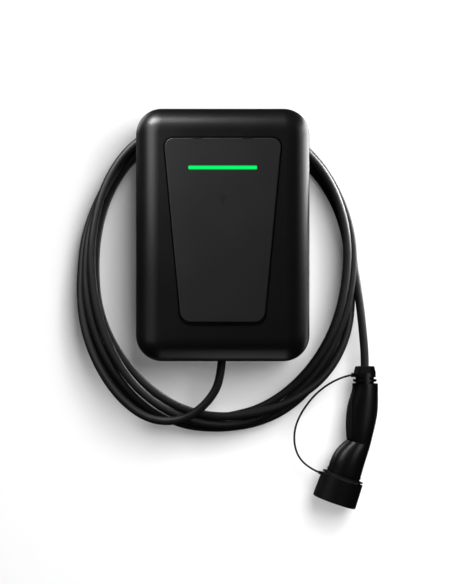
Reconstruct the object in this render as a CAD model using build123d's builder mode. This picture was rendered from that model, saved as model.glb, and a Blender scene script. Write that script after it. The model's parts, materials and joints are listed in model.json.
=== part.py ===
from build123d import *
import math
import os

# A vehicle charger that hangs on a wall, with its charging cable wound round the neck behind it.
# Millimetres. The wall is the plane Y = 0 and the front faces -Y. A depth is a distance in front of the
# wall. The origin is the centre of the wall bolts, on the wall.

os.makedirs("parts", exist_ok=True)

# Housing outline and depths
housing_width = 258.0
housing_height = 376.0
housing_corner = 38.0
front_round = 34.0
rim_step = 1.0
rear_round = 4.0
tub_back = 50.0
parting = 84.0
cover_front = 132.0
wall = 3.5

# Rim where the cover meets the tub, and the seal in it
rim_width = 10.0
rim_thickness = 4.0
seal_width = 4.0
seal_height = 2.0
seal_inset = 4.0

# Neck that carries the wound cable, with the bracket's pocket behind it
neck_width = 190.0
neck_bottom = -130.0
neck_corner = 14.0
saddle_radius = 185.5
saddle_z = -31.5
pocket_depth = 14.0

# Front panel, a trapezoid that is wider at the top
panel_top = 142.1
panel_bottom = -129.5
panel_top_half = 87.0
panel_bottom_half = 61.5
panel_top_corner = 13.0
panel_bottom_corner = 16.0
panel_thickness = 4.0
panel_proud = 1.5
panel_edge_round = 1.2
panel_gap = 2.0
finger_gap = 6.5
recess_depth = 5.5
recess_floor_thickness = 3.0
lug_x = 36.5
lug_width = 12.0
lug_reach = 2.5
lug_root = 8.0
lug_thickness = 1.8
notch_width = 13.5
notch_height = 1.6
lug_clearance = 0.8
lug_front_clearance = 0.4
clip_x = 22.0
clip_z = -116.0
clip_width = 14.0
clip_thickness = 2.0
clip_length = 8.0
clip_clearance = 0.6
clip_swing = 1.2

# Light bar, its board and the card reader's board
light_z = 98.4
light_length = 101.0
light_height = 6.8
light_corner = 1.9
light_tail_height = 4.0
light_tail_reach = 8.5
light_clearance = 0.8
board_thickness = 1.6
lamp_count = 8
lamp_size = 3.0
lamp_height = 1.5
light_board_length = 132.0
light_board_height = 12.0
stake_boss_diameter = 6.0
stake_boss_length = 5.0
stake_pin_diameter = 2.5
stake_pin_length = 2.6
stake_pin_clearance = 0.05
light_stake_pitch = 120.0
reader_z = 50.0
reader_side = 56.0
reader_stake_pitch = 46.0
reader_coil_side = 44.0
reader_coil_width = 5.0
reader_coil_corner = 11.0
reader_coil_height = 0.4

# Cover screws and the posts that take them
cover_screw_diameter = 4.0
cover_screw_head = 8.0
cover_screw_head_height = 2.0
cover_screw_length = 26.0
cover_screw_clearance = 0.3
post_diameter = 11.0
upper_post_x = 72.0
upper_post_z = 118.0
lower_post_x = 46.0
lower_post_z = -112.0

# Wall bracket of folded steel, hung in the neck's pocket
bracket_width = 150.0
bracket_height = 216.0
bracket_thickness = 2.5
bracket_corner = 10.0
bolt_spacing_x = 120.0
bolt_spacing_z = 160.0
bolt_hole_radius = 3.25
bracket_window_width = 60.0
bracket_window_height = 90.0
bracket_window_z = 55.0
hook_x = 45.0
hook_width = 22.0
hook_z = 66.0
hook_depth = 10.0
hook_lip = 14.0
hook_clearance = 0.3
hook_headroom = 1.2
lock_tab_width = 30.0
lock_tab_z = -105.0
lock_screw_depth = 8.0
lock_screw_diameter = 5.0
lock_screw_head = 9.0
lock_screw_head_height = 4.0
lock_screw_edge = 1.0
lock_screw_clearance = 0.3

# Supply grommet in the neck's rear wall, a closed membrane that the fitter pierces
grommet_drop = 34.0
grommet_diameter = 30.0
grommet_lip = 3.0
grommet_lip_thickness = 2.5
grommet_membrane = 1.2

# Main board and what stands on it
main_board_width = 160.0
main_board_height = 192.0
standoff_height = 20.5
standoff_diameter = 8.0
standoff_inset = 8.0
board_screw_diameter = 3.0
board_screw_head = 6.0
board_screw_head_height = 2.0
board_screw_length = 9.0
terminal_pitch = 12.0
terminal_poles = 5
terminal_height = 18.0
terminal_depth = 24.0
terminal_wire_hole = 5.0
terminal_wire_depth = 12.0
terminal_screw_hole = 6.0
terminal_screw_depth = 4.0
terminal_inset = 16.0
board_rows = 6
relay_width = 30.0
relay_height = 18.0
relay_depth = 27.0
relay_round = 1.5
relay_pitch_x = 38.0
relay_pitch_z = 26.0
sensor_outer = 44.0
sensor_inner = 20.0
sensor_depth = 18.0
sensor_round = 2.0
sensor_x = 48.0
transformer_width = 40.0
transformer_height = 34.0
transformer_depth = 30.0
transformer_core = 14.0
bobbin_corner = 4.5
transformer_x = -52.0
capacitor_diameter = 14.0
capacitor_height = 26.0
capacitor_pitch = 18.0
capacitor_x = -6.0
module_width = 22.0
module_height = 34.0
module_depth = 3.2
module_x = 67.5

# Charging cable and where it leaves the housing
cable_diameter = 12.6
cable_drop = 22.0
sheath_inside = 43.0
cable_seal_diameter = 22.0
cable_seal_flange = 26.0
cable_seal_flange_thickness = 3.0
clamp_rise = 28.0
clamp_width = 46.0
clamp_height = 14.0
clamp_thickness = 9.0
clamp_screw_pitch = 32.0
clamp_screw_diameter = 4.0
clamp_screw_head = 7.5
clamp_screw_head_height = 3.0
clamp_screw_length = 18.0
lead_diameter = 4.2
lead_circle = 3.9
cord_arc_share = 0.45

# Wound cable, one closed ring; its lower half hangs longer than its upper half is high
coil_clearance = 0.3
coil_lower_drop = 50.0
coil_thickness = 29.0
coil_shift = -9.0
coil_back = 4.5
coil_front = 48.5
coil_round = 5.0

# Connector: the handle hangs upright and the head points down to the left
connector_x = 216.2
connector_depth = 36.0
handle_top = -224.6
head_tilt = 19.0
head_x = -33.3
head_drop = 141.0
nut_across_flats = 29.4
nut_height = 10.2
nut_taper = 12.0
nut_chamfer = 0.8
tail_straight = 9.0
neck_diameter = 28.0
neck_gap = 3.2
disc_diameter = 35.9
disc_thickness = 3.4
spigot_diameter = 24.0
ring_diameter = 33.4
ring_thickness = 6.4
ring_clearance = 0.3
handle_half_depth = 19.0
grip_seam = 0.5
grip_start = 13.0
grip_end = 82.0
head_radius = 25.8
bead_height = 0.8
bead_width = 3.0
bead_at = 6.5
flange_radius = 32.1
flange_thickness = 1.6
nose_radius = 29.0
nose_length = 34.0
nose_flat = 24.5
nose_edge = 1.5
nose_spigot = 18.0
nose_spigot_length = 10.0
power_hole = 8.0
signal_hole = 6.0
power_side = 16.0
power_lower = 14.5
signal_upper = 14.0
pair_half = 8.2
sleeve_wall = 1.0
contact_depth = 28.0
contact_recess = 2.0
cap_clearance = 0.6
cap_wall = 3.4
cap_draft = 1.0
cap_end = 5.0
cap_floor_gap = 1.0
cap_edge = 2.0
cap_start = 4.0
tether_diameter = 3.1
tether_clearance = 0.3
tether_lug_reach = 4.0
tether_lug_width = 6.0
tether_lug_thickness = 4.6

# Sizes that follow from the ones above
tub_width = housing_width + 2 * rim_step
tub_height = housing_height + 2 * rim_step
tub_corner = housing_corner + rim_step
tub_bottom = -tub_height / 2
seal_path_width = housing_width - 2 * seal_inset
seal_path_height = housing_height - 2 * seal_inset
sheath_end_z = tub_bottom + sheath_inside
clamp_z = tub_bottom + clamp_rise
tub_floor = tub_back + wall
cable_depth = (tub_back + parting) / 2
cross_wall_front = pocket_depth + wall
recess_floor = cover_front - recess_depth
recess_floor_back = recess_floor - recess_floor_thickness
panel_front = cover_front + panel_proud
panel_back = panel_front - panel_thickness
main_board_back = cross_wall_front + standoff_height
main_board_front = main_board_back + board_thickness
standoff_pitch_x = main_board_width - 2 * standoff_inset
standoff_pitch_z = main_board_height - 2 * standoff_inset
terminal_z = main_board_height / 2 - terminal_inset
relay_z = main_board_height / board_rows
sensor_z = -relay_z
stake_seat = recess_floor_back - stake_boss_length
cable_radius = cable_diameter / 2
coil_inner_radius = saddle_radius + coil_clearance
grommet_z = saddle_z + saddle_radius - grommet_drop
cap_inner_radius = nose_radius + cap_clearance
cap_mouth_radius = cap_inner_radius + cap_wall
cap_length = flange_thickness + nose_length + cap_floor_gap + cap_end - cap_start
lug_front = panel_back
lug_back = panel_back - lug_thickness


def at_depth(depth):
    """A plane parallel to the wall: sketch x is X, sketch y is Z, and it faces the front."""
    return Plane.XZ.offset(depth)


def rounded_ring(width, height, corner, thickness):
    """A band of even width inside a rounded rectangle."""
    inner_width = width - 2 * thickness
    inner_height = height - 2 * thickness
    with BuildSketch(Plane.XY) as ring:
        RectangleRounded(width, height, corner)
        RectangleRounded(inner_width, inner_height, corner - thickness, mode=Mode.SUBTRACT)
    return ring.sketch


def neck_outline(grow):
    """The neck seen from the front: upright sides, flat bottom, and the saddle's arc on top."""
    half = neck_width / 2 + grow
    radius = saddle_radius + grow
    side_top = saddle_z + math.sqrt(radius**2 - half**2)
    bottom = neck_bottom - grow
    with BuildSketch(Plane.XY) as outline:
        with BuildLine():
            Polyline((-half, side_top), (-half, bottom), (half, bottom), (half, side_top))
            ThreePointArc((half, side_top), (0, saddle_z + radius), (-half, side_top))
        make_face()
        fillet(outline.vertices(), neck_corner + grow)
    return outline.sketch


def panel_outline(grow, drop=0):
    """The front panel's trapezoid, grown all round by a gap or a wall, and longer below by a drop."""
    slope = (panel_top_half - panel_bottom_half) / (panel_top - panel_bottom)
    side_grow = grow * math.sqrt(1 + slope**2)
    top_half = panel_top_half + side_grow + slope * grow
    bottom_half = panel_bottom_half + side_grow - slope * (grow + drop)
    with BuildSketch(Plane.XY) as outline:
        with BuildLine():
            Polyline(
                (-top_half, panel_top + grow),
                (-bottom_half, panel_bottom - grow - drop),
                (bottom_half, panel_bottom - grow - drop),
                (top_half, panel_top + grow),
                close=True,
            )
        make_face()
        corners = outline.vertices().group_by(Axis.Y)
        fillet(corners[0], panel_bottom_corner + grow)
        fillet(outline.vertices().group_by(Axis.Y)[-1], panel_top_corner + grow)
    return outline.sketch


def loop_outline(radius, shift):
    """A cable loop seen from the front: half a circle above and a longer half ellipse below."""
    with BuildSketch(Plane.XY) as outline:
        with BuildLine():
            CenterArc((shift, saddle_z), radius, 0, 180)
            EllipticalCenterArc((shift, saddle_z), radius, radius + coil_lower_drop, 180, arc_size=180)
        make_face()
    return outline.sketch


def cord_path(points):
    """Straight runs joined by arcs as large as the shorter run beside each corner allows."""
    vectors = [Vector(*p) for p in points]
    runs = [b - a for a, b in zip(vectors, vectors[1:])]
    radii = []
    for before, after in zip(runs, runs[1:]):
        half_turn = math.radians(before.get_angle(after)) / 2
        radii.append(cord_arc_share * min(before.length, after.length) / math.tan(half_turn))
    with BuildLine() as path:
        FilletPolyline(*vectors, radius=radii)
    return path.wires()[0], radii


def report_cord(name, solid, path, radii, diameter):
    """Print the arcs of a cord and compare its volume with its section times its length."""
    expected = math.pi * diameter**2 / 4 * path.length
    print(name, "radii", [round(r) for r in radii], "length", round(path.length, 1))
    print(name, "volume", round(solid.volume), "expected", round(expected))


upper_posts = [(-upper_post_x, upper_post_z), (upper_post_x, upper_post_z)]
lower_posts = [(-lower_post_x, lower_post_z), (lower_post_x, lower_post_z)]
post_places = upper_posts + lower_posts

# Rear housing: a shallow tub on a neck, moulded in one piece
with BuildPart() as rear_housing:
    with BuildSketch(at_depth(tub_back)):
        RectangleRounded(tub_width, tub_height, tub_corner)
    extrude(amount=parting - tub_back)
    fillet(rear_housing.faces().sort_by(Axis.Y)[-1].edges(), rear_round)
    with BuildSketch(at_depth(tub_floor)):
        RectangleRounded(tub_width - 2 * wall, tub_height - 2 * wall, tub_corner - wall)
    extrude(amount=parting - tub_floor, mode=Mode.SUBTRACT)
    with BuildSketch(at_depth(parting - rim_thickness)):
        add(rounded_ring(tub_width, tub_height, tub_corner, rim_width + rim_step))
    extrude(amount=rim_thickness)
    with BuildSketch(at_depth(parting)):
        add(rounded_ring(seal_path_width, seal_path_height, housing_corner - seal_inset, seal_width))
    extrude(amount=-seal_height, mode=Mode.SUBTRACT)
    with BuildSketch(at_depth(0)):
        add(neck_outline(0))
    extrude(amount=tub_floor)
    with BuildSketch(at_depth(0)):
        add(neck_outline(-wall))
    extrude(amount=pocket_depth, mode=Mode.SUBTRACT)
    with BuildSketch(at_depth(cross_wall_front)):
        add(neck_outline(-wall))
    extrude(amount=tub_floor - cross_wall_front, mode=Mode.SUBTRACT)
    # Catches that hang on the bracket's hooks
    catch_top = hook_z + hook_lip + hook_headroom + wall
    catch_back = bracket_thickness + hook_clearance
    catch_front = hook_depth - bracket_thickness - hook_clearance
    with BuildSketch(Plane.YZ):
        with BuildLine():
            Polyline(
                (-pocket_depth - wall / 2, catch_top),
                (-catch_back, catch_top),
                (-catch_back, hook_z + hook_clearance),
                (-catch_front, hook_z + hook_clearance),
                (-catch_front, catch_top - wall),
                (-pocket_depth - wall / 2, catch_top - wall),
                close=True,
            )
        make_face()
    catch = extrude(amount=hook_width / 2, both=True, mode=Mode.PRIVATE)
    with Locations((-hook_x, 0, 0), (hook_x, 0, 0)):
        add(catch)
    # Posts for the cover screws, and standoffs for the main board
    with BuildSketch(at_depth(pocket_depth + wall / 2)):
        with Locations(*post_places):
            Circle(post_diameter / 2)
    extrude(amount=recess_floor_back - pocket_depth - wall / 2)
    with BuildSketch(at_depth(recess_floor_back)):
        with Locations(*post_places):
            Circle(cover_screw_diameter / 2)
    extrude(amount=recess_floor - cover_screw_length - recess_floor_back, mode=Mode.SUBTRACT)
    with BuildSketch(at_depth(pocket_depth + wall / 2)):
        with GridLocations(standoff_pitch_x, standoff_pitch_z, 2, 2):
            Circle(standoff_diameter / 2)
    extrude(amount=main_board_back - pocket_depth - wall / 2)
    with BuildSketch(at_depth(main_board_back)):
        with GridLocations(standoff_pitch_x, standoff_pitch_z, 2, 2):
            Circle(board_screw_diameter / 2)
    extrude(amount=board_thickness - board_screw_length, mode=Mode.SUBTRACT)
    # Openings: supply grommet, lock screw, cable seal
    with BuildSketch(at_depth(pocket_depth)):
        with Locations((0, grommet_z)):
            Circle(grommet_diameter / 2)
    extrude(amount=wall, mode=Mode.SUBTRACT)
    with BuildSketch(Plane.XY.offset(neck_bottom)):
        with Locations((0, -lock_screw_depth)):
            Circle(lock_screw_diameter / 2 + lock_screw_clearance)
    extrude(amount=wall, mode=Mode.SUBTRACT)
    with BuildSketch(Plane.XY.offset(tub_bottom)):
        with Locations((0, -cable_depth)):
            Circle(cable_seal_diameter / 2)
    extrude(amount=wall, mode=Mode.SUBTRACT)
    # Saddle under the cable clamp
    with BuildSketch(at_depth(tub_back + wall / 2)):
        with Locations((0, clamp_z)):
            Rectangle(clamp_width, clamp_height)
    extrude(amount=cable_depth - tub_back - wall / 2)
    with BuildSketch(Plane.XY.offset(clamp_z - clamp_height / 2)):
        with Locations((0, -cable_depth)):
            Circle(cable_radius)
    extrude(amount=clamp_height, mode=Mode.SUBTRACT)
    with BuildSketch(at_depth(cable_depth)):
        with Locations((-clamp_screw_pitch / 2, clamp_z), (clamp_screw_pitch / 2, clamp_z)):
            Circle(clamp_screw_diameter / 2)
    extrude(amount=clamp_thickness - clamp_screw_length, mode=Mode.SUBTRACT)
rear_housing.part.label = "rear_housing"
export_step(rear_housing.part, "parts/rear_housing.step")

# Seal in the groove of the tub's rim
with BuildPart() as cover_seal:
    with BuildSketch(at_depth(parting - seal_height)):
        add(rounded_ring(seal_path_width, seal_path_height, housing_corner - seal_inset, seal_width))
    extrude(amount=seal_height)
cover_seal.part.label = "cover_seal"
export_step(cover_seal.part, "parts/cover_seal.step")

# Front cover: a pillow-edged shell with the panel's recess sunk in its face
with BuildPart() as front_cover:
    with BuildSketch(at_depth(parting)):
        RectangleRounded(housing_width, housing_height, housing_corner)
    extrude(amount=cover_front - parting)
    fillet(front_cover.faces().sort_by(Axis.Y)[0].edges(), front_round)
    offset(amount=-wall, openings=front_cover.faces().sort_by(Axis.Y)[-1])
    with BuildSketch(at_depth(parting)):
        add(rounded_ring(housing_width, housing_height, housing_corner, rim_width))
    extrude(amount=rim_thickness)
    with BuildSketch(at_depth(recess_floor_back)):
        add(panel_outline(panel_gap + wall, finger_gap - panel_gap))
    extrude(amount=cover_front - wall / 2 - recess_floor_back)
    with BuildSketch(at_depth(recess_floor)):
        add(panel_outline(panel_gap, finger_gap - panel_gap))
    extrude(amount=recess_depth, mode=Mode.SUBTRACT)
    # Undercuts that the panel's lugs hook into, behind the recess's upper edge
    with BuildSketch(at_depth(recess_floor)):
        with Locations((-lug_x, panel_top), (lug_x, panel_top)):
            Rectangle(lug_width + 2 * lug_clearance, 2 * (lug_reach + lug_clearance))
    extrude(amount=lug_front + lug_front_clearance - recess_floor, mode=Mode.SUBTRACT)
    # Window for the light bar's tail, slots for the panel's clips, holes for the cover screws
    with BuildSketch(at_depth(recess_floor)):
        with Locations((0, light_z)):
            Rectangle(light_length, light_tail_height + 2 * light_clearance)
        with Locations((-clip_x, clip_z), (clip_x, clip_z)):
            Rectangle(clip_width + 2 * clip_clearance, clip_thickness + 2 * clip_swing)
        with Locations(*post_places):
            Circle(cover_screw_diameter / 2 + cover_screw_clearance)
    extrude(amount=-recess_floor_thickness, mode=Mode.SUBTRACT)
    # Bosses with stake pins for the light board and the reader board
    with BuildSketch(at_depth(recess_floor_back)):
        with Locations((0, light_z)):
            with GridLocations(light_stake_pitch, 1, 2, 1):
                Circle(stake_boss_diameter / 2)
        with Locations((0, reader_z)):
            with GridLocations(reader_stake_pitch, reader_stake_pitch, 2, 2):
                Circle(stake_boss_diameter / 2)
    extrude(amount=-stake_boss_length)
    with BuildSketch(at_depth(stake_seat)):
        with Locations((0, light_z)):
            with GridLocations(light_stake_pitch, 1, 2, 1):
                Circle(stake_pin_diameter / 2)
        with Locations((0, reader_z)):
            with GridLocations(reader_stake_pitch, reader_stake_pitch, 2, 2):
                Circle(stake_pin_diameter / 2)
    extrude(amount=-stake_pin_length)
front_cover.part.label = "front_cover"
export_step(front_cover.part, "parts/front_cover.step")

# Screws that hold the cover, under the front panel
with BuildPart() as cover_screws:
    with BuildSketch(at_depth(recess_floor)):
        with Locations(*post_places):
            Circle(cover_screw_head / 2)
    extrude(amount=cover_screw_head_height)
    with BuildSketch(at_depth(recess_floor)):
        with Locations(*post_places):
            Circle(cover_screw_diameter / 2)
    extrude(amount=-cover_screw_length)
cover_screws.part.label = "cover_screws"
export_step(cover_screws.part, "parts/cover_screws.step")

# Front panel: hooks in at the top, clips in at the bottom
with BuildPart() as front_panel:
    with BuildSketch(at_depth(panel_back)):
        add(panel_outline(0))
    extrude(amount=panel_thickness)
    fillet(front_panel.faces().sort_by(Axis.Y)[0].edges(), panel_edge_round)
    with BuildSketch(at_depth(panel_back)):
        with Locations((-lug_x, panel_top), (lug_x, panel_top)):
            Rectangle(notch_width, 2 * notch_height)
    extrude(amount=panel_thickness, mode=Mode.SUBTRACT)
    # Each lug stands behind the panel and ends in a round edge, which the panel swings on
    lug_centre = panel_top + lug_reach - lug_thickness / 2
    with BuildSketch(Plane.YZ):
        with BuildLine():
            Polyline(
                (-lug_back, lug_centre),
                (-lug_back, panel_top - lug_root),
                (-lug_front, panel_top - lug_root),
                (-lug_front, lug_centre),
            )
            ThreePointArc(
                (-lug_front, lug_centre),
                (-(lug_back + lug_front) / 2, panel_top + lug_reach),
                (-lug_back, lug_centre),
            )
        make_face()
    lug = extrude(amount=lug_width / 2, both=True, mode=Mode.PRIVATE)
    with Locations((-lug_x, 0, 0), (lug_x, 0, 0)):
        add(lug)
    with BuildSketch(at_depth(panel_back)):
        with Locations((-clip_x, clip_z), (clip_x, clip_z)):
            Rectangle(clip_width, clip_thickness)
    extrude(amount=-clip_length)
    with BuildSketch(at_depth(panel_back)):
        with Locations((0, light_z)):
            RectangleRounded(light_length, light_height, light_corner)
    extrude(amount=panel_thickness, mode=Mode.SUBTRACT)
front_panel.part.label = "front_panel"
export_step(front_panel.part, "parts/front_panel.step")

# Light bar: flush in the panel, with a tail that reaches through the cover to the lamps
with BuildPart() as light_guide:
    with BuildSketch(at_depth(panel_back)):
        with Locations((0, light_z)):
            RectangleRounded(light_length, light_height, light_corner)
    extrude(amount=panel_thickness)
    with BuildSketch(at_depth(panel_back)):
        with Locations((0, light_z)):
            Rectangle(light_length - light_height, light_tail_height)
    extrude(amount=-light_tail_reach)
light_guide.part.label = "light_guide"
export_step(light_guide.part, "parts/light_guide.step")

# Board with the lamps behind the light bar
with BuildPart() as light_board:
    with BuildSketch(at_depth(stake_seat)):
        with Locations((0, light_z)):
            Rectangle(light_board_length, light_board_height)
            with GridLocations(light_stake_pitch, 1, 2, 1):
                Circle(stake_pin_diameter / 2 + stake_pin_clearance, mode=Mode.SUBTRACT)
    extrude(amount=-board_thickness)
light_board.part.label = "light_board"
export_step(light_board.part, "parts/light_board.step")

with BuildPart() as lamps:
    with BuildSketch(at_depth(stake_seat)):
        with Locations((0, light_z)):
            with GridLocations((light_length - light_height) / lamp_count, 1, lamp_count, 1):
                Rectangle(lamp_size, lamp_size)
    extrude(amount=lamp_height)
lamps.part.label = "lamps"
export_step(lamps.part, "parts/lamps.step")

# Card reader: a board with its flat antenna coil, on the back of the recess floor
with BuildPart() as reader_board:
    with BuildSketch(at_depth(stake_seat)):
        with Locations((0, reader_z)):
            Rectangle(reader_side, reader_side)
            with GridLocations(reader_stake_pitch, reader_stake_pitch, 2, 2):
                Circle(stake_pin_diameter / 2 + stake_pin_clearance, mode=Mode.SUBTRACT)
    extrude(amount=-board_thickness)
reader_board.part.label = "reader_board"
export_step(reader_board.part, "parts/reader_board.step")

with BuildPart() as reader_coil:
    with BuildSketch(at_depth(stake_seat)):
        with Locations((0, reader_z)):
            RectangleRounded(reader_coil_side, reader_coil_side, reader_coil_corner)
            inner_side = reader_coil_side - 2 * reader_coil_width
            inner_corner = reader_coil_corner - reader_coil_width
            RectangleRounded(inner_side, inner_side, inner_corner, mode=Mode.SUBTRACT)
    extrude(amount=reader_coil_height)
reader_coil.part.label = "reader_coil"
export_step(reader_coil.part, "parts/reader_coil.step")

# Wall bracket: a plate with two hooks folded up and a tab for the lock screw
with BuildPart() as wall_bracket:
    with BuildSketch(at_depth(0)):
        RectangleRounded(bracket_width, bracket_height, bracket_corner)
        with Locations((0, bracket_window_z)):
            RectangleRounded(bracket_window_width, bracket_window_height, bracket_corner, mode=Mode.SUBTRACT)
        with GridLocations(bolt_spacing_x, bolt_spacing_z, 2, 2):
            Circle(bolt_hole_radius, mode=Mode.SUBTRACT)
    extrude(amount=bracket_thickness)
    with BuildSketch(Plane.YZ):
        with BuildLine():
            Polyline(
                (0, hook_z - bracket_thickness),
                (-hook_depth, hook_z - bracket_thickness),
                (-hook_depth, hook_z + hook_lip),
                (bracket_thickness - hook_depth, hook_z + hook_lip),
                (bracket_thickness - hook_depth, hook_z),
                (0, hook_z),
                close=True,
            )
        make_face()
    hook = extrude(amount=hook_width / 2, both=True, mode=Mode.PRIVATE)
    with Locations((-hook_x, 0, 0), (hook_x, 0, 0)):
        add(hook)
    with BuildSketch(Plane.XY.offset(lock_tab_z)):
        with Locations((0, -(pocket_depth - hook_clearance) / 2)):
            Rectangle(lock_tab_width, pocket_depth - hook_clearance)
        with Locations((0, -lock_screw_depth)):
            Circle(lock_screw_diameter / 2, mode=Mode.SUBTRACT)
    extrude(amount=bracket_thickness)
wall_bracket.part.label = "wall_bracket"
export_step(wall_bracket.part, "parts/wall_bracket.step")

# Lock screw, driven from below through the neck into the bracket's tab
with BuildPart() as lock_screw:
    with BuildSketch(Plane.XY.offset(neck_bottom - lock_screw_head_height)):
        with Locations((0, -lock_screw_depth)):
            Circle(lock_screw_head / 2)
    extrude(amount=lock_screw_head_height)
    with BuildSketch(Plane.XY.offset(neck_bottom)):
        with Locations((0, -lock_screw_depth)):
            Circle(lock_screw_diameter / 2)
    extrude(amount=lock_tab_z + 2 * bracket_thickness - neck_bottom)
    fillet(lock_screw.edges().group_by(Axis.Z)[0], lock_screw_edge)
lock_screw.part.label = "lock_screw"
export_step(lock_screw.part, "parts/lock_screw.step")

# Supply grommet: a closed rubber membrane, gripped by a lip on each side of the neck's rear wall
with BuildPart() as supply_grommet:
    with BuildSketch(at_depth(pocket_depth)):
        with Locations((0, grommet_z)):
            Circle(grommet_diameter / 2)
    extrude(amount=wall)
    with BuildSketch(at_depth(pocket_depth)):
        with Locations((0, grommet_z)):
            Circle(grommet_diameter / 2 + grommet_lip)
    extrude(amount=-grommet_lip_thickness)
    with BuildSketch(at_depth(cross_wall_front)):
        with Locations((0, grommet_z)):
            Circle(grommet_diameter / 2 + grommet_lip)
    extrude(amount=grommet_lip_thickness)
    with BuildSketch(at_depth(pocket_depth - grommet_lip_thickness)):
        with Locations((0, grommet_z)):
            Circle(grommet_diameter / 2 - grommet_lip)
    extrude(amount=wall + 2 * grommet_lip_thickness - grommet_membrane, mode=Mode.SUBTRACT)
supply_grommet.part.label = "supply_grommet"
export_step(supply_grommet.part, "parts/supply_grommet.step")

# Main board on its standoffs
with BuildPart() as main_board:
    with BuildSketch(at_depth(main_board_back)):
        Rectangle(main_board_width, main_board_height)
        with GridLocations(standoff_pitch_x, standoff_pitch_z, 2, 2):
            Circle(board_screw_diameter / 2, mode=Mode.SUBTRACT)
    extrude(amount=board_thickness)
main_board.part.label = "main_board"
export_step(main_board.part, "parts/main_board.step")

with BuildPart() as board_screws:
    with BuildSketch(at_depth(main_board_front)):
        with GridLocations(standoff_pitch_x, standoff_pitch_z, 2, 2):
            Circle(board_screw_head / 2)
    extrude(amount=board_screw_head_height)
    with BuildSketch(at_depth(main_board_front)):
        with GridLocations(standoff_pitch_x, standoff_pitch_z, 2, 2):
            Circle(board_screw_diameter / 2)
    extrude(amount=-board_screw_length)
board_screws.part.label = "board_screws"
export_step(board_screws.part, "parts/board_screws.step")


def terminal_block(z, wire_side):
    """A row of screw terminals: wires enter on the side given, screws are reached from the front."""
    with BuildPart() as block:
        with BuildSketch(at_depth(main_board_front)):
            with Locations((0, z)):
                Rectangle(terminal_poles * terminal_pitch, terminal_height)
        extrude(amount=terminal_depth)
        wire_face = Plane.XY.offset(z + wire_side * terminal_height / 2)
        with BuildSketch(wire_face):
            with Locations((0, -main_board_front - terminal_depth / 2)):
                with GridLocations(terminal_pitch, 1, terminal_poles, 1):
                    Circle(terminal_wire_hole / 2)
        extrude(amount=-wire_side * terminal_wire_depth, mode=Mode.SUBTRACT)
        with BuildSketch(at_depth(main_board_front + terminal_depth)):
            with Locations((0, z)):
                with GridLocations(terminal_pitch, 1, terminal_poles, 1):
                    Circle(terminal_screw_hole / 2)
        extrude(amount=-terminal_screw_depth, mode=Mode.SUBTRACT)
    return block


supply_terminal = terminal_block(terminal_z, 1)
supply_terminal.part.label = "supply_terminal"
export_step(supply_terminal.part, "parts/supply_terminal.step")

output_terminal = terminal_block(-terminal_z, -1)
output_terminal.part.label = "output_terminal"
export_step(output_terminal.part, "parts/output_terminal.step")

# Relays that switch the phases
with BuildPart() as power_relays:
    with BuildSketch(at_depth(main_board_front)):
        with Locations((0, relay_z)):
            with GridLocations(relay_pitch_x, relay_pitch_z, 3, 2):
                RectangleRounded(relay_width, relay_height, relay_round)
    extrude(amount=relay_depth)
power_relays.part.label = "power_relays"
export_step(power_relays.part, "parts/power_relays.step")

# Ring that senses leakage current
with BuildPart() as leakage_sensor:
    with BuildSketch(at_depth(main_board_front)):
        with Locations((sensor_x, sensor_z)):
            Circle(sensor_outer / 2)
            Circle(sensor_inner / 2, mode=Mode.SUBTRACT)
    extrude(amount=sensor_depth)
    fillet(leakage_sensor.faces().sort_by(Axis.Y)[0].edges(), sensor_round)
leakage_sensor.part.label = "leakage_sensor"
export_step(leakage_sensor.part, "parts/leakage_sensor.step")

# Transformer: a wound bobbin with its core through it
with BuildPart() as supply_transformer:
    with BuildSketch(at_depth(main_board_front)):
        with Locations((transformer_x, sensor_z)):
            Rectangle(transformer_width, transformer_core)
    extrude(amount=transformer_depth)
    with BuildSketch(at_depth(main_board_front)):
        with Locations((transformer_x, sensor_z)):
            RectangleRounded(transformer_width - transformer_core, transformer_height, bobbin_corner)
    extrude(amount=transformer_depth - transformer_core / 2)
supply_transformer.part.label = "supply_transformer"
export_step(supply_transformer.part, "parts/supply_transformer.step")

with BuildPart() as capacitors:
    with BuildSketch(at_depth(main_board_front)):
        with Locations((capacitor_x, sensor_z)):
            with GridLocations(1, capacitor_pitch, 1, 3):
                Circle(capacitor_diameter / 2)
    extrude(amount=capacitor_height)
capacitors.part.label = "capacitors"
export_step(capacitors.part, "parts/capacitors.step")

with BuildPart() as controller_module:
    with BuildSketch(at_depth(main_board_front)):
        with Locations((module_x, relay_z)):
            Rectangle(module_width, module_height)
    extrude(amount=module_depth)
controller_module.part.label = "controller_module"
export_step(controller_module.part, "parts/controller_module.step")

# Rubber seal where the cable goes through the tub's bottom wall
with BuildPart() as cable_seal:
    with BuildSketch(Plane.XY.offset(tub_bottom)):
        with Locations((0, -cable_depth)):
            Circle(cable_seal_diameter / 2)
    extrude(amount=wall)
    with BuildSketch(Plane.XY.offset(tub_bottom + wall)):
        with Locations((0, -cable_depth)):
            Circle(cable_seal_flange / 2)
    extrude(amount=cable_seal_flange_thickness)
    with BuildSketch(Plane.XY.offset(tub_bottom)):
        with Locations((0, -cable_depth)):
            Circle(cable_radius)
    extrude(amount=wall + cable_seal_flange_thickness, mode=Mode.SUBTRACT)
cable_seal.part.label = "cable_seal"
export_step(cable_seal.part, "parts/cable_seal.step")

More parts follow.
